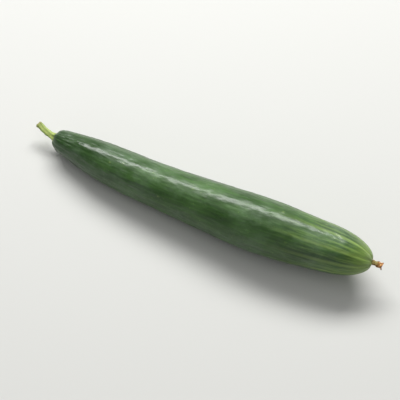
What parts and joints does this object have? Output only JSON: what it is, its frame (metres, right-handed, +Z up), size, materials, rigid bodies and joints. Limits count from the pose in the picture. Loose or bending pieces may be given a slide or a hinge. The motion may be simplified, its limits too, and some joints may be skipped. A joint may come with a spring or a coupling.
{
  "type": "cucumber",
  "caption": "Smooth dark green salad cucumber with a slim neck, a fuller belly and a blunt end, lying on its side, with its stalk stub and withered blossom.",
  "frame": {"origin": "middle of the footprint of the box around the whole cucumber, on the surface that it lies on", "axes": "+X from the stalk to the blossom, along the length; +Z up from the surface; +Y sideways, to the side that the stalk bends towards"},
  "size_m": [0.287, 0.043, 0.0434],
  "materials": {
    "fruit_skin": "satin",
    "stalk": "matte",
    "dried_blossom": "matte"
  },
  "bodies": {
    "root": {"fruit": "fruit_skin", "stalk": "stalk", "withered_blossom": "dried_blossom"}
  },
  "joints": []
}
